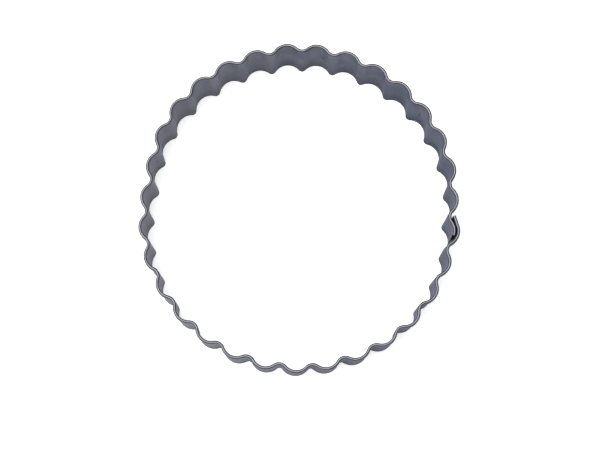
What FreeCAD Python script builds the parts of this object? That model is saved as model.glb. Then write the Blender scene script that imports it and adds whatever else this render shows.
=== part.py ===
"""Fluted baking ring: one strip of tinned sheet steel with a hemmed top edge, pressed into flutes,
bent into a hoop and closed by a spot-welded lap seam. Both faces of the hoop are open.

Millimetres. Origin at the middle of the ring's box, on the surface it stands on, +Z up towards the
hem, and the flute crest that the lap seam covers on +X. Angles are in degrees, counter-clockwise
from above."""

import FreeCAD, Part
import math
import os

Vector = FreeCAD.Vector
UP = Vector(0, 0, 1)

# Driving dimensions
OUTER_DIAMETER = 101.6  # over the hem at the flute crests, before the hoop went out of round
HEIGHT = 25.4
SHEET = 0.3
HEM_GAP = 0.4  # between the wall and the leaf folded down outside it
HEM_DEPTH = 3.0  # from the top of the hem to the leaf's raw edge
HOOP_CENTRE_X = -0.76  # sets the box round the ring, lap included, square on the origin
FLUTE_COUNT = 31
FLUTE_DEPTH = 2.1  # crest to valley, on the sheet's middle surface
VALLEY_RADIUS = 2.5  # middle surface

# How far the thin hoop stands out of round: (waves round the hoop, height, direction of one crest)
OUT_OF_ROUND = ((2, 0.91, 96.5), (4, 0.32, 48.2), (6, 0.23, 32.2))
SEAM_LIFT = 0.2  # further out for the lapped crest, where the seam is stiff

# Lap seam: the inner end lies under one crest, and the outer end wraps over it
INNER_END_ANGLE = -12.0  # round that crest, from its tip
OUTER_BEND_ANGLE = 28.0  # where the outer end leaves the crest and runs straight
OUTER_TAIL = 3.0  # length of that straight
LAP_GAP = 0.1  # between the two layers beside the welds
HEM_CLEARANCE = 0.25  # between the inner end's hem and the outer end, above the joggle
JOGGLE_START = 14.5  # heights between which the outer end steps out over the hem
JOGGLE_END = 21.0

# Spot welds through the lap: node name and height of each
WELDS = (("seam_weld_lower", 4.8), ("seam_weld_middle", 13.0))
WELD_ANGLE = 6.0  # round the lapped crest, from its tip
WELD_DIAMETER = 2.0
WELD_DISH = 0.05  # depth of the electrode's mark on each side

# Derived dimensions
HALF_SHEET = SHEET / 2
HEM_WIDTH = 2 * SHEET + HEM_GAP
HEM_RADIUS = HEM_WIDTH / 2
PITCH = 360 / FLUTE_COUNT
CREST_R = OUTER_DIAMETER / 2 - HEM_WIDTH + HALF_SHEET  # crest tips, middle surface
VALLEY_CENTRE_R = CREST_R - FLUTE_DEPTH + VALLEY_RADIUS
LAP_STEP = SHEET + LAP_GAP  # between the two layers' middle surfaces, below the joggle
TOP_STEP = HEM_WIDTH + HEM_CLEARANCE  # the same, above it


def crest_radius():
    """Radius of a crest's arc that runs tangent into the valleys on a round hoop."""
    cosine = math.cos(math.radians(PITCH / 2))
    span = CREST_R**2 + VALLEY_CENTRE_R**2 - 2 * CREST_R * VALLEY_CENTRE_R * cosine
    return (span - VALLEY_RADIUS**2) / (2 * (VALLEY_RADIUS + CREST_R - VALLEY_CENTRE_R * cosine))


CREST_RADIUS = crest_radius()


def polar(centre, radius, degrees):
    """The point at a radius and direction from a centre, in plan."""
    a = math.radians(degrees)
    return centre + Vector(radius * math.cos(a), radius * math.sin(a), 0)


def direction(start, end):
    """Direction from one point to another, in plan."""
    return math.degrees(math.atan2(end.y - start.y, end.x - start.x))


def crest_centre(number):
    """Centre of a crest's arc. The strip bends but doesn't stretch, so a crest that is pushed
    out also slides round the hoop, towards where the hoop bulges most."""
    degrees = number * PITCH
    out, along = 0.0, 0.0
    for waves, height, towards in OUT_OF_ROUND:
        phase = math.radians(waves * (degrees - towards))
        out += height * math.cos(phase)
        along -= height / waves * math.sin(phase)
    if number == 0:
        out += SEAM_LIFT
    shifted = degrees + math.degrees(along / CREST_R)
    return polar(Vector(HOOP_CENTRE_X, 0, 0), CREST_R - CREST_RADIUS + out, shifted)


def valley_centre(before, before_radius, after, after_radius):
    """Centre of the valley arc that touches the crest arcs on both sides of it."""
    chord = after - before
    reach_before = before_radius + VALLEY_RADIUS
    reach_after = after_radius + VALLEY_RADIUS
    span = chord.Length
    along = (span**2 + reach_before**2 - reach_after**2) / (2 * span)
    outward = math.sqrt(reach_before**2 - along**2)
    unit = chord / span
    return before + unit * along + Vector(unit.y, -unit.x, 0) * outward


def strip_section(origin, outward_degrees, low=0.0, high=None):
    """The strip's cross-section as a face, standing at a point in plan. low and high are how far
    the wall stands outside its path below and above the joggle. A plain wall has no high."""
    outward = polar(Vector(0, 0, 0), 1.0, outward_degrees)
    joggled = high is not None
    high = high if joggled else low

    def at(n, z):
        return origin + outward * n + UP * z

    fold = HEIGHT - HEM_RADIUS
    inner, outer = high - HALF_SHEET, high - HALF_SHEET + HEM_WIDTH
    crown = (inner + outer) / 2
    up_inside = [at(low - HALF_SHEET, 0), at(inner, fold)]
    down_outside = [at(inner + SHEET, fold), at(low + HALF_SHEET, 0)]
    if joggled:
        up_inside[1:1] = [at(low - HALF_SHEET, JOGGLE_START), at(inner, JOGGLE_END)]
        down_outside[1:1] = [at(inner + SHEET, JOGGLE_END), at(low + HALF_SHEET, JOGGLE_START)]
    leaf = [
        at(outer, fold),
        at(outer, HEIGHT - HEM_DEPTH),
        at(outer - SHEET, HEIGHT - HEM_DEPTH),
        at(outer - SHEET, fold),
    ]
    over_fold = Part.Arc(up_inside[-1], at(crown, HEIGHT), leaf[0])
    under_fold = Part.Arc(leaf[-1], at(crown, HEIGHT - SHEET), down_outside[0])
    edges = [Part.makeLine(a, b) for a, b in zip(up_inside, up_inside[1:])]
    edges.append(over_fold.toShape())
    edges += [Part.makeLine(a, b) for a, b in zip(leaf, leaf[1:])]
    edges.append(under_fold.toShape())
    edges += [Part.makeLine(a, b) for a, b in zip(down_outside, down_outside[1:])]
    edges.append(Part.makeLine(down_outside[-1], up_inside[0]))
    return Part.Face(Part.Wire(edges))


def crest(centre, start, end, step=0.0, top_step=None):
    """A stretch of the strip that goes counter-clockwise round a crest."""
    section = strip_section(polar(centre, CREST_RADIUS, start), start, step, top_step)
    return section.revolve(centre, UP, end - start)


def valley(centre, start, end):
    """A stretch of the strip that goes clockwise round a valley."""
    section = strip_section(polar(centre, VALLEY_RADIUS, start), start + 180)
    return section.revolve(centre, -UP, (start - end) % 360)


def widening_valley(centre, start, end):
    """The last valley, in which the wall leaves its plain section and takes up the joggle."""
    sections = 7
    sweep = (start - end) % 360
    wires = []
    for i in range(sections):
        share = i / (sections - 1)
        eased = share * share * (3 - 2 * share)
        degrees = start - sweep * share
        foot = polar(centre, VALLEY_RADIUS, degrees)
        section = strip_section(foot, degrees + 180, 0.0, (TOP_STEP - LAP_STEP) * eased)
        wires.append(section.OuterWire)
    return Part.makeLoft(wires, True, False)


def band_pieces():
    """The strip's stretches in order, from its inner end once round the hoop to its outer end."""
    centres = [crest_centre(k) for k in range(FLUTE_COUNT)]
    lapped_radius = CREST_RADIUS + LAP_STEP
    valleys = [
        valley_centre(centres[k], CREST_RADIUS, centres[k + 1], CREST_RADIUS)
        for k in range(FLUTE_COUNT - 1)
    ]
    valleys.append(valley_centre(centres[-1], CREST_RADIUS, centres[0], lapped_radius))

    pieces = [crest(centres[0], INNER_END_ANGLE, direction(centres[0], valleys[0]))]
    for k in range(1, FLUTE_COUNT):
        before, centre, after = valleys[k - 1], centres[k], valleys[k]
        pieces.append(valley(before, direction(before, centres[k - 1]), direction(before, centre)))
        start = direction(centre, before)
        sweep = (direction(centre, after) - start) % 360
        pieces.append(crest(centre, start, start + sweep))
    pieces += lap_pieces(centres[-1], valleys[-1], centres[0])
    return pieces


def lap_pieces(last_crest, last_valley, lapped_crest):
    """The strip's outer end: a valley, the joggled wrap over the lapped crest, and a straight."""
    first = direction(last_valley, last_crest)
    second = direction(last_valley, lapped_crest)
    start = direction(lapped_crest, last_valley)
    end = OUTER_BEND_ANGLE
    wrap = crest(lapped_crest, start, end, LAP_STEP, TOP_STEP)
    foot = polar(lapped_crest, CREST_RADIUS, end)
    along = polar(Vector(0, 0, 0), OUTER_TAIL, end + 90)
    tail = strip_section(foot, end, LAP_STEP, TOP_STEP).extrude(along)
    return [widening_valley(last_valley, first, second), wrap, tail]


def weld_post(height, inner_radius, outer_radius):
    """A round post through the lap, square to the crest, between two radii from its centre."""
    centre = crest_centre(0) + UP * height
    axis = polar(Vector(0, 0, 0), 1.0, WELD_ANGLE)
    half = WELD_DIAMETER / 2
    post = Part.makeCylinder(half, 2 * CREST_RADIUS, centre, axis)
    outer = Part.makeCylinder(outer_radius, WELD_DIAMETER * 2, centre - UP * WELD_DIAMETER)
    inner = Part.makeCylinder(inner_radius, WELD_DIAMETER * 2, centre - UP * WELD_DIAMETER)
    return post.common(outer).cut(inner)


def fluted_band():
    """The strip as one solid, open where the welds stand."""
    first, *rest = band_pieces()
    band = first.multiFuse(rest).removeSplitter()
    for _, height in WELDS:
        hole = weld_post(height, CREST_RADIUS - SHEET, CREST_RADIUS + LAP_STEP + SHEET)
        band = band.cut(hole)
    return band


def seam_weld(height):
    """The steel of one spot weld, a little below the sheet's faces on both sides."""
    inner = CREST_RADIUS - HALF_SHEET + WELD_DISH
    outer = CREST_RADIUS + LAP_STEP + HALF_SHEET - WELD_DISH
    return weld_post(height, inner, outer)


def save(name, shape):
    """Writes one node's solids and prints their measures."""
    solids = shape.Solids
    shape = solids[0] if len(solids) == 1 else Part.makeCompound(solids)
    shape.exportStep(f"parts/{name}.step")
    print(f"{name}: {len(solids)} solid, {len(shape.Faces)} faces, {shape.Volume:.1f} mm3,",
          "valid" if shape.isValid() else "NOT VALID")


def main():
    os.makedirs("parts", exist_ok=True)
    save("fluted_band", fluted_band())
    for name, height in WELDS:
        save(name, seam_weld(height))


main()
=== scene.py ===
"""Looks for the fluted baking ring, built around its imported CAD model.

One long strip of tinned sheet is bent flute by flute round the hoop, hem and all, and lapped on
itself at the seam, where two spot welds hold it. Metres, in the CAD model's frame: +Z up, the
seam on +X. Angles are in degrees, counter-clockwise from above."""

import math

import bpy
from mathutils import Euler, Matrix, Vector


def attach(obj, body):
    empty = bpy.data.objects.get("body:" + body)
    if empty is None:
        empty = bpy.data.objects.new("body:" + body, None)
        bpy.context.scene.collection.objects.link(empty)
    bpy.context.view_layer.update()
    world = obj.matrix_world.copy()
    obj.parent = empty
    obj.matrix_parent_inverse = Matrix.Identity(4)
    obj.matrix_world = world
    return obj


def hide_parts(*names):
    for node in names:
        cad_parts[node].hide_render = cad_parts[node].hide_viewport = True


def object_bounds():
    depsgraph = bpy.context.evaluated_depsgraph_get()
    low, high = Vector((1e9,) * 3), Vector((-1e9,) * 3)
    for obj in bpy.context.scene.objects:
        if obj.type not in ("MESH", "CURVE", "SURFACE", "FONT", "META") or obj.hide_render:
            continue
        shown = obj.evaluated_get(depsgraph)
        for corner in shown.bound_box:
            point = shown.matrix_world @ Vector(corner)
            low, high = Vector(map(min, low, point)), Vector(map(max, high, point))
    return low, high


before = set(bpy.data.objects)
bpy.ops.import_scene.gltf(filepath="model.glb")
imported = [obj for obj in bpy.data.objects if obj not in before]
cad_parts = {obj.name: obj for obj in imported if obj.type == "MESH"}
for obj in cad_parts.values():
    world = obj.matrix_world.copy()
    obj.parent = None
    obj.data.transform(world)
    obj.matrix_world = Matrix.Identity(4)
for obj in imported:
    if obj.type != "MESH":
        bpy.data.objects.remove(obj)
cad_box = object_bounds()

MM = 0.001
UP = Vector((0, 0, 1))

# The strip
SHEET = 0.3 * MM
HEM_WIDTH = 1.0 * MM
HEM_DEPTH = 3.0 * MM
FLUTE_COUNT = 31
OUTER_RADIUS = 50.8 * MM
HOOP_CENTRE = Vector((-0.76 * MM, 0, 0))
OUT_OF_ROUND = (  # waves round the hoop, height, direction of one crest
    (2, 0.91 * MM, 96.5),
    (4, 0.32 * MM, 48.2),
    (6, 0.23 * MM, 32.2),
)
RIM_PLACES = (  # how far each crest stands out and along from there, in hundredths of a mm
    (-8, 26), (29, 42), (37, 46), (23, 41),
    (16, 12), (14, -8), (10, -16), (3, -12),
    (1, -7), (11, -29), (-3, -11), (-2, -12),
    (-2, -35), (2, -37), (-3, -61), (-33, -47),
    (-21, 25), (21, 21), (4, 12), (-13, 15),
    (3, 14), (18, 29), (12, 4), (7, 20),
    (11, 27), (17, 8), (9, 26), (4, 18),
    (22, -2), (44, -6), (80, -16),
)
FOOT_PLACES = (
    (10, -14), (23, 50), (19, 6), (1, -9),
    (-6, -2), (0, -11), (-7, -15), (-20, -26),
    (-28, -30), (-25, -26), (-21, -29), (-21, -23),
    (-18, -35), (-16, -40), (-2, -60), (-39, -48),
    (-26, 26), (10, 21), (9, 3), (9, 8),
    (31, 5), (44, -10), (35, -9), (12, -15),
    (9, -7), (23, -9), (28, 3), (20, 20),
    (10, 5), (10, 0), (30, -25),
)
SEAM_LIFT = 0.2 * MM  # further out for the lapped crest, where the seam is stiff
RAW_EDGE = 0.05 * MM  # how far the sheared edges are rounded
SAG = 0.05 * MM  # how far the hand-bent wall wanders to each side
SAG_LUMPS = {"X": 17 * MM, "Y": 13 * MM}  # size of the lumps that it wanders in, along each axis

# The lap seam
INNER_END_ANGLE = -12.0  # round the lapped crest, from its tip
OUTER_BEND_ANGLE = 28.0  # where the outer end leaves that crest and runs straight
OUTER_TAIL = 3.0 * MM  # length of that straight at the foot
OUTER_TAIL_AT_HEM = 3.5 * MM
LAP_STEP = 0.4 * MM  # between the two layers at the welds
HEM_LAP_SHIFT = 1.25 * MM  # how far the outer layer stands off at the hem
JOGGLE_START = 14.5 * MM  # heights between which the outer layer steps out over the hem
JOGGLE_END = 21.0 * MM

# The spot welds
WELD_HEIGHTS = {"lower": 4.8 * MM, "middle": 13.0 * MM}
WELD_ANGLE = 6.0  # round the lapped crest, from its tip
WELD_RADIUS = 1.0 * MM
WELD_PROUD = 0.04 * MM  # how far the squeezed metal stands over the sheet
WELD_SIDES = 48
WELD_DISH_STEPS = (  # width of each ring in from the edge, and how far what is inside it sinks
    (0.05 * MM, -0.015 * MM),
    (0.12 * MM, 0.0),
    (0.13 * MM, 0.035 * MM),
    (0.25 * MM, 0.01 * MM),
)

# Rows of points along and up the strip
CREST_STEPS = 12
VALLEY_STEPS = 11
TAIL_STEPS = 5
WALL_ROWS = (6, 6, 3)  # below, along and above the joggle
FOLD_ROWS = 8
LEAF_ROWS = 2

# Patterns in the tin, as waves per metre along each axis
CLOUDS = (95, 95, 95)
PATCHES = (260, 260, 200)
GRAIN = (55, 55, 2600)
PRESS_MARKS = (1300, 1300, 45)
SCRATCHES = (2600, 1900, 95)
SCRATCH_SLANT = (0.5, 0.35, 0)
PITS_PER_METRE = 330

# Heights of the worn parts of the tin and of the painted shade at its foot
RUBBED_FROM = 0.3 * MM  # below the top of the hem
RUBBED_FULLY = 0.05 * MM
# painted shade: the wall darkens gradually from about this height down to the foot
FOOT_SHADE_BELOW = 12 * MM
# painted shadow: the darkest band along the very foot
FOOT_SHADOW_BELOW = 0.3 * MM
NO_PITS_FROM = 2 * MM  # below the top of the hem
NO_PITS_FADE = 1 * MM

# Dark places in the tin, and how far the painted shade in its crevices reaches
DARK_SPOTS = ((-1.3, 50.1, 13.4), (31.9, 37.5, 12.6), (-47.4, 8.1, 14.1))  # places, in mm
DARK_SPOT_RADII = (0.45 * MM, 0.2 * MM)  # of its soft edge and its core, across the flutes
DARK_SPOT_SQUASH = 0.2  # a spot's width over its height
HEAT_RADII = (3.0 * MM, 1.3 * MM)
CREVICE_REACH = 1.6 * MM

# Patterns in the weld metal, as waves per metre
SPECKLE = (3800, 3800, 3800)
BLOTCHES = (900, 900, 900)

# Colours of the metal
TIN_LIGHT = (0.15, 0.155, 0.175, 1)
TIN_DARK = (0.10, 0.105, 0.125, 1)
TIN_BLUE = (0.10, 0.112, 0.145, 1)
TIN_RUBBED = (0.12, 0.122, 0.136, 1)
# real stain colour for the pits and dark spots, also used for the painted shadow along the foot
TIN_STAIN_AND_FOOT_SHADOW = (0.035, 0.033, 0.033, 1)
# painted shade towards the foot
TIN_FOOT_SHADE = (0.045, 0.045, 0.05, 1)
TIN_SCORCHED = (0.06, 0.055, 0.065, 1)
TIN_GRAZING = (0.34, 0.355, 0.42, 1)  # what it mirrors when seen along the wall
# painted light: the grazing reflection on the lit side
TIN_GRAZING_PAINTED_LIT = (0.55, 0.55, 0.585, 1)
PAINTED_LIT_SIDE = 195  # the side from which painted light falls: the grazing reflection is painted a little paler and less blue towards it
# painted shade for the crevices: the lap and the inside of the hem
PAINTED_CREVICE_SHADE = (0.035, 0.035, 0.04, 1)
WELD_LIGHT = (0.07, 0.07, 0.08, 1)
WELD_DARK = (0.03, 0.03, 0.035, 1)

# Camera
LENS = 118.0
SENSOR_WIDTH = 36.0
CAMERA_TILT = 8.11
CAMERA_TURN = 9.8
CAMERA_DISTANCE = 0.6078
CAMERA_AIM = (0.77 * MM, -5.77 * MM)  # on the plane of the hem

# Light
SOFTBOX_PLACE = Vector((-0.3, 0, 1.05))
SOFTBOX_SIZE = 1.3
SOFTBOX_POWER = 22
SURROUNDINGS = (0.2, 0.205, 0.225, 1)
FLOOR_SIZE = 3.0
FLOOR_WHITE = (0.9, 0.9, 0.9, 1)
FLOOR_GLOW = 0.55  # keeps the ring's shadow faint

# Worked out from those
HEIGHT = cad_box[1].z
PITCH = 360 / FLUTE_COUNT
CREST_R = OUTER_RADIUS - HEM_WIDTH + SHEET / 2
FOLD_RADIUS = (HEM_WIDTH - SHEET) / 2
FOLD_START = HEIGHT - SHEET / 2 - FOLD_RADIUS


class Flutes:
    """The flutes' shape along one edge of the strip: crest arcs that run tangent into valley arcs."""

    def __init__(self, depth, valley, places):
        self.valley = valley
        self.places = places
        out = CREST_R - depth + valley
        cosine = math.cos(math.radians(PITCH / 2))
        span = CREST_R**2 + out**2 - 2 * CREST_R * out * cosine
        self.crest = (span - valley**2) / (2 * (valley + CREST_R - out * cosine))


FOOT_FLUTES = Flutes(2.22 * MM, 1.3 * MM, FOOT_PLACES)
RIM_FLUTES = Flutes(2.0 * MM, 2.97 * MM, RIM_PLACES)


# ---- Plan geometry -------------------------------------------------------------------------------


def ray(degrees):
    """Unit vector in plan."""
    a = math.radians(degrees)
    return Vector((math.cos(a), math.sin(a), 0))


def direction(start, end):
    """Direction from one point to another, in plan."""
    return math.degrees(math.atan2(end.y - start.y, end.x - start.x))


def crest_centre(number, flutes):
    """Centre of a crest's arc, pushed out and slid along where the hoop is out of round."""
    degrees = number * PITCH
    out, along = (place * MM / 100 for place in flutes.places[number])
    for waves, height, crest in OUT_OF_ROUND:
        phase = math.radians(waves * (degrees - crest))
        out += height * math.cos(phase)
        along -= height / waves * math.sin(phase)
    if number == 0:
        out += SEAM_LIFT
    shifted = degrees + math.degrees(along / CREST_R)
    return HOOP_CENTRE + ray(shifted) * (CREST_R - flutes.crest + out)


def valley_centre(before, after, flutes, after_radius):
    """Centre of the valley arc that touches the crest arcs on both sides of it."""
    chord = after - before
    span = chord.length
    reach_before = flutes.crest + flutes.valley
    reach_after = after_radius + flutes.valley
    along = (span**2 + reach_before**2 - reach_after**2) / (2 * span)
    outward = math.sqrt(reach_before**2 - along**2)
    unit = chord / span
    return before + unit * along + Vector((unit.y, -unit.x, 0)) * outward


# ---- Working in edit mode ------------------------------------------------------------------------


def new_point(name, place):
    """A piece that starts as one vertex, left in edit mode with that vertex selected."""
    bpy.ops.object.select_all(action="DESELECT")
    bpy.ops.mesh.primitive_plane_add(size=MM, location=place)
    piece = bpy.context.object
    piece.name = piece.data.name = name
    bpy.ops.object.transform_apply(location=True)
    bpy.ops.object.mode_set(mode="EDIT")
    bpy.ops.mesh.merge(type="CENTER")
    return piece


def draw_out(step, count=1):
    """Extrudes what is selected by a step, count times."""
    for _ in range(count):
        bpy.ops.mesh.extrude_region_move(TRANSFORM_OT_translate={"value": step})


def bend(centre, axis, degrees, steps):
    """Extrudes what is selected round an axis, right-handed: the operator itself turns the other way."""
    bpy.ops.mesh.spin(steps=steps, angle=-math.radians(degrees), center=centre, axis=axis)


def apply_modifiers(piece):
    """Applies a piece's modifiers in order."""
    bpy.context.view_layer.objects.active = piece
    for modifier in list(piece.modifiers):
        bpy.ops.object.modifier_apply(modifier=modifier.name)


def choose(piece):
    """Selects one piece alone."""
    bpy.ops.object.select_all(action="DESELECT")
    piece.select_set(True)
    bpy.context.view_layer.objects.active = piece


# ---- The strip -----------------------------------------------------------------------------------


def section_line(name, foot, outward):
    """The strip's section as a line up the wall, over the hem's fold and down its leaf."""
    piece = new_point(name, foot)
    heights = (0, JOGGLE_START, JOGGLE_END, FOLD_START)
    for low, high, rows in zip(heights, heights[1:], WALL_ROWS):
        draw_out(UP * ((high - low) / rows), rows)
    fold_centre = foot + outward * FOLD_RADIUS + UP * FOLD_START
    bend(fold_centre, UP.cross(outward), 180, FOLD_ROWS)
    leaf = HEM_DEPTH - (HEIGHT - FOLD_START)
    draw_out(UP * (-leaf / LEAF_ROWS), LEAF_ROWS)
    bpy.ops.mesh.select_all(action="SELECT")
    return piece


def bent_strip(name, flutes, lap_step, lap_shift, tail):
    """The strip's middle surface, bent once round the hoop and over its own start. The outer end
    goes round the lapped crest lap_step further out, on a centre that is moved out by lap_shift."""
    centres = [crest_centre(k, flutes) for k in range(FLUTE_COUNT)]
    lapped = centres[0] + ray(0) * lap_shift
    lapped_radius = flutes.crest + lap_step
    following = centres[1:] + [lapped]
    valleys = [
        valley_centre(before, after, flutes, lapped_radius if after is lapped else flutes.crest)
        for before, after in zip(centres, following)
    ]
    outward = ray(INNER_END_ANGLE)
    strip = section_line(name, centres[0] + outward * flutes.crest, outward)
    heading = INNER_END_ANGLE
    for crest, valley, after in zip(centres, valleys, following):
        leaves = direction(crest, valley)
        bend(crest, UP, (leaves - heading) % 360, CREST_STEPS)
        enters = direction(valley, after)
        bend(valley, UP, -((leaves + 180 - enters) % 360), VALLEY_STEPS)
        heading = enters + 180
    bend(lapped, UP, (OUTER_BEND_ANGLE - heading) % 360, CREST_STEPS)
    draw_out(ray(OUTER_BEND_ANGLE + 90) * (tail / TAIL_STEPS), TAIL_STEPS)
    bpy.ops.object.mode_set(mode="OBJECT")
    return strip


def eased(share):
    """A smooth step from 0 to 1."""
    share = min(max(share, 0), 1)
    return share * share * (3 - 2 * share)


def formed_strip():
    """The strip as pressed: deeper flutes at its foot than at its rim, and its outer end set off
    from the inner one where it passes over the hem."""
    strip = bent_strip("fluted_strip", FOOT_FLUTES, LAP_STEP, 0, OUTER_TAIL)
    rim = bent_strip("rim_form", RIM_FLUTES, LAP_STEP, 0, OUTER_TAIL)
    parted = bent_strip("parted_form", RIM_FLUTES, 0, HEM_LAP_SHIFT, OUTER_TAIL_AT_HEM)

    rise = strip.vertex_groups.new(name="rise")
    joggle = strip.vertex_groups.new(name="joggle")
    for point in strip.data.vertices:
        rise.add([point.index], point.co.z / HEIGHT, "REPLACE")
        share = (point.co.z - JOGGLE_START) / (JOGGLE_END - JOGGLE_START)
        joggle.add([point.index], eased(share), "REPLACE")

    choose(strip)
    rim.select_set(True)
    parted.select_set(True)
    bpy.ops.object.join_shapes()
    forms = strip.data.shape_keys.key_blocks
    forms["rim_form"].vertex_group = "rise"
    forms["parted_form"].vertex_group = "joggle"
    forms["parted_form"].relative_key = forms["rim_form"]
    forms["rim_form"].value = forms["parted_form"].value = 1.0
    strip.active_shape_key_index = 1
    bpy.ops.object.shape_key_remove(all=True, apply_mix=True)
    strip.vertex_groups.clear()
    bpy.data.objects.remove(rim)
    bpy.data.objects.remove(parted)
    return strip


def wander(piece):
    """Lets a piece wander a little from its true line, as thin sheet bent by hand does."""
    for axis, size in SAG_LUMPS.items():
        lumps = bpy.data.textures.new(f"lumps_{axis}", "CLOUDS")
        lumps.noise_scale = size
        lumps.noise_depth = 1
        shift = piece.modifiers.new(f"wander_{axis}", "DISPLACE")
        shift.texture = lumps
        shift.texture_coords = "LOCAL"
        shift.direction = axis
        shift.mid_level = 0.5
        shift.strength = 2 * SAG
    apply_modifiers(piece)


def round_raw_edges(piece):
    """Takes the sharpness off every sheared edge."""
    choose(piece)
    bpy.ops.object.mode_set(mode="EDIT")
    bpy.ops.mesh.select_all(action="DESELECT")
    bpy.ops.mesh.select_mode(type="EDGE")
    bpy.ops.mesh.edges_select_sharp(sharpness=math.radians(60))
    bpy.ops.mesh.bevel(offset=RAW_EDGE, segments=2, affect="EDGES")
    bpy.ops.object.mode_set(mode="OBJECT")


def fluted_strip():
    """The whole strip in its full thickness."""
    strip = formed_strip()
    wander(strip)
    thickness = strip.modifiers.new("sheet", "SOLIDIFY")
    thickness.thickness = SHEET
    thickness.offset = 0
    thickness.use_even_offset = True
    apply_modifiers(strip)
    round_raw_edges(strip)
    bpy.ops.object.shade_smooth_by_angle(angle=math.radians(40))
    return strip


# ---- The spot welds ------------------------------------------------------------------------------


def spot_weld(height):
    """Where a weld stands: the lapped crest's centre and radius at a height."""
    share = height / HEIGHT
    centre = crest_centre(0, FOOT_FLUTES).lerp(crest_centre(0, RIM_FLUTES), share)
    radius = FOOT_FLUTES.crest * (1 - share) + RIM_FLUTES.crest * share
    return centre + UP * height, radius


def weld_nugget(name, height):
    """A short post of fused metal through both layers, with a shallow dish at each end that the
    electrode left, inside a low ring of metal that it squeezed up."""
    centre, radius = spot_weld(height)
    outward = ray(WELD_ANGLE)
    inner = radius - SHEET / 2 - WELD_PROUD
    outer = radius + LAP_STEP + SHEET / 2 + WELD_PROUD
    bpy.ops.object.select_all(action="DESELECT")
    bpy.ops.mesh.primitive_cylinder_add(
        vertices=WELD_SIDES,
        radius=WELD_RADIUS,
        depth=outer - inner,
        location=centre + outward * (inner + outer) / 2,
        rotation=(0, math.pi / 2, math.radians(WELD_ANGLE)),
    )
    piece = bpy.context.object
    piece.name = piece.data.name = name
    bpy.ops.object.transform_apply(location=True, rotation=True, scale=True)
    for face in piece.data.polygons:
        face.select = abs(face.normal.dot(outward)) > 0.9
    bpy.ops.object.mode_set(mode="EDIT")
    bpy.ops.mesh.select_mode(type="FACE")
    for width, sink in WELD_DISH_STEPS:
        bpy.ops.mesh.inset(thickness=width)
        bpy.ops.transform.shrink_fatten(value=-sink)
    bpy.ops.mesh.poke()
    bpy.ops.object.mode_set(mode="OBJECT")

    # Curves the round faces with the crest
    tangent = UP.cross(outward)
    for point in piece.data.vertices:
        reach = (point.co - centre).dot(outward)
        aside = (point.co - centre).dot(tangent)
        point.co += outward * (math.sqrt(reach**2 - aside**2) - reach)
    choose(piece)
    bpy.ops.object.shade_smooth_by_angle(angle=math.radians(50))
    return piece


# ---- Finishes ------------------------------------------------------------------------------------


class Finish:
    """A metal finish, put together from texture nodes on object coordinates."""

    def __init__(self, name):
        self.metal = bpy.data.materials.new(name)
        self.metal.use_nodes = True
        self.nodes = self.metal.node_tree.nodes
        self.links = self.metal.node_tree.links
        self.shader = self.nodes["Principled BSDF"]
        self.place = self.nodes.new("ShaderNodeTexCoord").outputs["Object"]

    def put(self, socket, value):
        """Sets a socket, or links it to another one."""
        if isinstance(value, bpy.types.NodeSocket):
            self.links.new(value, socket)
        else:
            socket.default_value = value

    def add(self, kind, output, **inputs):
        """A node with some of its inputs set, by the socket's name with _ for a space."""
        node = self.nodes.new("ShaderNode" + kind)
        for name, value in inputs.items():
            self.put(node.inputs[name.replace("_", " ")], value)
        return node.outputs[output]

    def math(self, operation, *values):
        """A sum on one or two numbers."""
        node = self.nodes.new("ShaderNodeMath")
        node.operation = operation
        for socket, value in zip(node.inputs, values):
            self.put(socket, value)
        return node.outputs[0]

    def band(self, value, low, high, to_low=0.0, to_high=1.0):
        """Takes a range of values to another, clamped, with a soft start and end."""
        node = self.nodes.new("ShaderNodeMapRange")
        node.interpolation_type = "SMOOTHSTEP"
        for socket, number in zip(node.inputs, (value, low, high, to_low, to_high)):
            self.put(socket, number)
        return node.outputs[0]

    def noise(self, stretch, detail=2.0, turn=(0, 0, 0)):
        """Noise with so many waves per metre along each axis."""
        place = self.add("Mapping", "Vector", Vector=self.place, Scale=stretch, Rotation=turn)
        return self.add("TexNoise", 0, Vector=place, Scale=1.0, Detail=detail)

    def blend(self, share, first, second, kind="MIX"):
        """Mixes two colours."""
        node = self.nodes.new("ShaderNodeMix")
        node.data_type = "RGBA"
        node.blend_type = kind
        for number, value in ((0, share), (6, first), (7, second)):
            self.put(node.inputs[number], value)
        return node.outputs[2]

    def height(self):
        """How far up the ring a place is."""
        return self.add("SeparateXYZ", "Z", Vector=self.place)

    def distance(self, point, upright=1.0):
        """How far a place is from a point, with distances in height counted this many times."""
        scale = (1, 1, upright)
        node = self.nodes.new("ShaderNodeVectorMath")
        node.operation = "DISTANCE"
        self.put(node.inputs[0], self.add("Mapping", "Vector", Vector=self.place, Scale=scale))
        node.inputs[1].default_value = (point[0], point[1], point[2] * upright)
        return node.outputs["Value"]

    def along(self, way):
        """How far out a place is in one direction."""
        node = self.nodes.new("ShaderNodeVectorMath")
        node.operation = "DOT_PRODUCT"
        self.put(node.inputs[0], self.place)
        node.inputs[1].default_value = way
        return node.outputs["Value"]

    def dents(self, heights):
        """Bumps from pairs of a pattern and its depth in metres, one after another."""
        normal = None
        for pattern, depth in heights:
            inputs = {"Height": pattern, "Distance": depth}
            if normal:
                inputs["Normal"] = normal
            normal = self.add("Bump", "Normal", **inputs)
        self.put(self.shader.inputs["Normal"], normal)


def weld_middle(height):
    """The middle of a weld, between the two layers."""
    centre, radius = spot_weld(height)
    return centre + ray(WELD_ANGLE) * (radius + LAP_STEP / 2)


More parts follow.
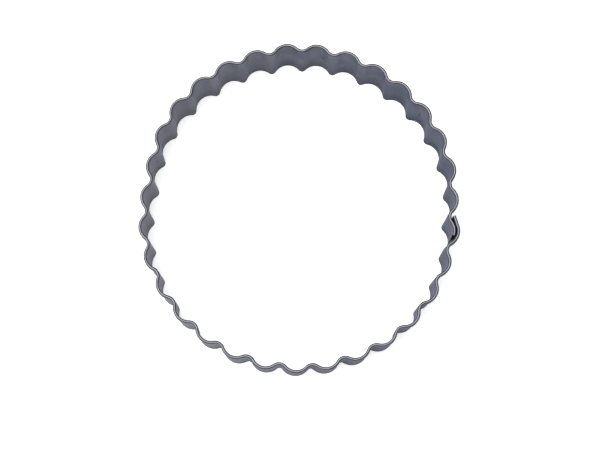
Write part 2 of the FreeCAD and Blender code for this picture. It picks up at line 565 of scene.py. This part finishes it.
def tinplate():
    """Dull tin over rolled steel sheet: fine rolling grain along the strip, cloudy patches, press
    marks up the flutes, a few pits and scratches and a rubbed hem; painted shade towards the sheared
    foot and in the crevices, and grazing reflections painted paler towards one side."""
    tin = Finish("tinplate")
    clouds = tin.noise(CLOUDS, 3.0)
    patches = tin.noise(PATCHES, 3.0)
    grain = tin.noise(GRAIN, 3.0)
    press_marks = tin.noise(PRESS_MARKS, 2.0)
    scratches = tin.band(tin.noise(SCRATCHES, 1.0, SCRATCH_SLANT), 0.70, 0.76)
    height = tin.height()

    colour = tin.blend(tin.band(clouds, 0.35, 0.65), TIN_DARK, TIN_LIGHT)
    colour = tin.blend(tin.band(patches, 0.4, 0.7, 0, 0.35), colour, TIN_BLUE)
    colour = tin.blend(tin.band(grain, 0.3, 0.7, 0, 0.22), colour, TIN_LIGHT)
    colour = tin.blend(tin.band(press_marks, 0.5, 0.75, 0, 0.25), colour, TIN_DARK)
    colour = tin.blend(tin.math("MULTIPLY", scratches, 0.35), colour, TIN_RUBBED)

    # Rubbed bright over the hem; painted shade darkens the wall towards the sheared foot, with a darker
    # painted shadow along the foot itself
    rubbed = tin.band(height, HEIGHT - RUBBED_FROM, HEIGHT - RUBBED_FULLY)
    rubbed = tin.math("MULTIPLY", rubbed, tin.band(grain, 0.2, 0.6, 0.65, 1.0))
    colour = tin.blend(rubbed, colour, TIN_RUBBED)
    ragged = tin.math("ADD", height, tin.math("MULTIPLY", patches, -3 * MM))
    colour = tin.blend(tin.band(ragged, FOOT_SHADE_BELOW, -1 * MM, 0, 0.4), colour, TIN_FOOT_SHADE)
    # painted shadow along the foot, darkest at the bottom edge
    foot_shadow = tin.band(ragged, FOOT_SHADOW_BELOW, -1.2 * MM, 0, 0.85)
    colour = tin.blend(foot_shadow, colour, TIN_STAIN_AND_FOOT_SHADOW)

    # Pits all over but on the hem, and a few larger spots
    cells = tin.nodes.new("ShaderNodeTexVoronoi")
    tin.put(cells.inputs["Vector"], tin.place)
    cells.inputs["Scale"].default_value = PITS_PER_METRE
    some = tin.band(tin.add("SeparateColor", "Red", Color=cells.outputs["Color"]), 0.90, 0.92)
    pits = tin.band(cells.outputs["Distance"], 0.16, 0.08)
    pits = tin.math("MULTIPLY", pits, some)
    top = HEIGHT - NO_PITS_FROM
    pits = tin.math("MULTIPLY", pits, tin.band(height, top, top - NO_PITS_FADE))
    for spot in DARK_SPOTS:
        far = tin.distance([part * MM for part in spot], DARK_SPOT_SQUASH)
        pits = tin.math("MAXIMUM", pits, tin.band(far, *DARK_SPOT_RADII, 0, 0.8))
    colour = tin.blend(pits, colour, TIN_STAIN_AND_FOOT_SHADOW)

    # Heat marks round the welds, and painted shade in the lap and inside the hem, wherever ambient
    # occlusion finds a crevice
    for weld_height in WELD_HEIGHTS.values():
        heat = tin.band(tin.distance(weld_middle(weld_height)), *HEAT_RADII, 0, 0.45)
        colour = tin.blend(heat, colour, TIN_SCORCHED)
    crevice = tin.nodes.new("ShaderNodeAmbientOcclusion")
    crevice.samples = 6
    crevice.inputs["Distance"].default_value = CREVICE_REACH
    # painted shade: darker where the ambient occlusion is deep
    crevice_shade = tin.band(crevice.outputs["AO"], 0.5, 0.1, 0, 0.7)
    colour = tin.blend(crevice_shade, colour, PAINTED_CREVICE_SHADE)

    tin.put(tin.shader.inputs["Base Color"], colour)
    rough = tin.band(clouds, 0.3, 0.7, 0.40, 0.48)
    rough = tin.math("ADD", rough, tin.band(grain, 0.3, 0.7, -0.03, 0.03))
    rough = tin.math("SUBTRACT", rough, tin.math("MULTIPLY", rubbed, 0.18))
    rough = tin.math("ADD", rough, tin.math("MULTIPLY", crevice_shade, 0.3))
    rough = tin.math("ADD", rough, tin.math("MULTIPLY", foot_shadow, 0.25))
    tin.put(tin.shader.inputs["Roughness"], rough)
    tin.shader.inputs["Metallic"].default_value = 1.0
    # painted light: the grazing reflection is painted paler and less blue towards one side
    lit_side_share = tin.band(tin.along(ray(PAINTED_LIT_SIDE)), -50 * MM, 50 * MM)
    tin.put(tin.shader.inputs["Specular Tint"], tin.blend(lit_side_share, TIN_GRAZING, TIN_GRAZING_PAINTED_LIT))
    tin.dents(((grain, 0.006 * MM), (patches, 0.02 * MM), (pits, -0.04 * MM), (scratches, -0.01 * MM)))
    return tin.metal


def weld_metal():
    """Steel darkened by the weld's heat, faintly ridged and matt."""
    metal = Finish("weld_metal")
    speckle = metal.noise(SPECKLE, 3.0)
    blotches = metal.noise(BLOTCHES, 2.0)
    colour = metal.blend(metal.band(blotches, 0.35, 0.65), WELD_DARK, WELD_LIGHT)
    colour = metal.blend(metal.band(speckle, 0.5, 0.7, 0, 0.5), colour, TIN_SCORCHED)
    metal.put(metal.shader.inputs["Base Color"], colour)
    metal.put(metal.shader.inputs["Roughness"], metal.band(speckle, 0.3, 0.7, 0.42, 0.6))
    metal.shader.inputs["Metallic"].default_value = 1.0
    metal.dents(((speckle, 0.015 * MM), (blotches, 0.02 * MM)))
    return metal.metal


# ---- Scene ---------------------------------------------------------------------------------------


def camera():
    """The camera, well above the ring and a little towards its near side."""
    data = bpy.data.cameras.new("camera")
    data.lens = LENS
    data.sensor_width = SENSOR_WIDTH
    data.clip_end = 10
    eye = bpy.data.objects.new("camera", data)
    bpy.context.scene.collection.objects.link(eye)
    turn = Euler((math.radians(CAMERA_TILT), 0, math.radians(CAMERA_TURN)))
    eye.rotation_euler = turn
    aim = Vector((*CAMERA_AIM, HEIGHT))
    eye.location = aim + turn.to_matrix() @ Vector((0, 0, CAMERA_DISTANCE))
    bpy.context.scene.camera = eye


def softbox():
    """A large soft light overhead, a little to the left, that faces the ring."""
    data = bpy.data.lights.new("overhead", "AREA")
    data.shape = "SQUARE"
    data.size = SOFTBOX_SIZE
    data.energy = SOFTBOX_POWER
    lamp = bpy.data.objects.new("overhead", data)
    bpy.context.scene.collection.objects.link(lamp)
    lamp.location = SOFTBOX_PLACE
    lamp.rotation_euler = (-SOFTBOX_PLACE).to_track_quat("-Z", "Y").to_euler()


def studio():
    """A pale floor, the soft light overhead and dim surroundings."""
    bpy.ops.object.select_all(action="DESELECT")
    bpy.ops.mesh.primitive_plane_add(size=FLOOR_SIZE)
    floor = bpy.context.object
    floor.name = "floor"
    paint = bpy.data.materials.new("floor_paper")
    paint.use_nodes = True
    shader = paint.node_tree.nodes["Principled BSDF"]
    shader.inputs["Base Color"].default_value = FLOOR_WHITE
    shader.inputs["Roughness"].default_value = 0.9
    shader.inputs["Emission Color"].default_value = (1, 1, 1, 1)
    shader.inputs["Emission Strength"].default_value = FLOOR_GLOW
    floor.data.materials.append(paint)

    softbox()
    world = bpy.data.worlds.new("surroundings")
    world.use_nodes = True
    world.node_tree.nodes["Background"].inputs["Color"].default_value = SURROUNDINGS
    bpy.context.scene.world = world
    bpy.context.scene.view_settings.view_transform = "Standard"


strip = fluted_strip()
strip.data.materials.append(tinplate())
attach(strip, "root")
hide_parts("fluted_band")

weld_finish = weld_metal()
for weld, height in WELD_HEIGHTS.items():
    nugget = weld_nugget(f"weld_nugget_{weld}", height)
    nugget.data.materials.append(weld_finish)
    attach(nugget, "root")
    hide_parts(f"seam_weld_{weld}")

camera()
studio()
